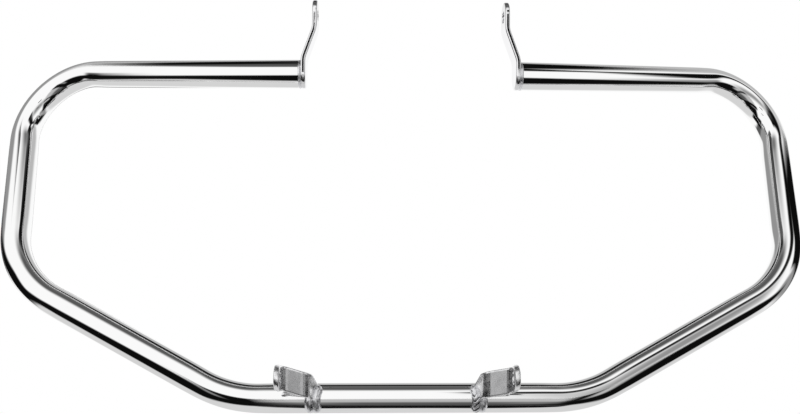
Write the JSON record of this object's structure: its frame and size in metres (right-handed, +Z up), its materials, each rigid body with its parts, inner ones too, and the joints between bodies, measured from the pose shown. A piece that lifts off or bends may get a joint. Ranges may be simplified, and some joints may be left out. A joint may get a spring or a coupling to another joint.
{
  "type": "motorcycle engine guard",
  "caption": "Chromed engine guard for a motorcycle: a loop of bent round tube with jogged flat tabs at the top and bent bolt lugs on the lower crossbar.",
  "frame": {"origin": "middle of the lower bolt axis, halfway between the two lower lugs", "axes": "+X to the rider's right along the bolt axes, +Y forward, away from the machine, +Z up"},
  "size_m": [0.7594, 0.1775, 0.3584],
  "materials": {
    "tube_chrome": "polished chrome plate",
    "bar_chrome": "chrome plate over rolled flat bar",
    "weld_chrome": "chrome plate over rippled weld bead"
  },
  "bodies": {
    "root": {"guard_tube": "tube_chrome", "left_upper_tab": "bar_chrome", "right_upper_tab": "bar_chrome", "left_lower_lug": "bar_chrome", "right_lower_lug": "bar_chrome", "left_tab_weld": "weld_chrome", "right_tab_weld": "weld_chrome", "left_lug_weld_inner": "weld_chrome", "left_lug_weld_outer": "weld_chrome", "right_lug_weld_inner": "weld_chrome", "right_lug_weld_outer": "weld_chrome"}
  },
  "joints": []
}
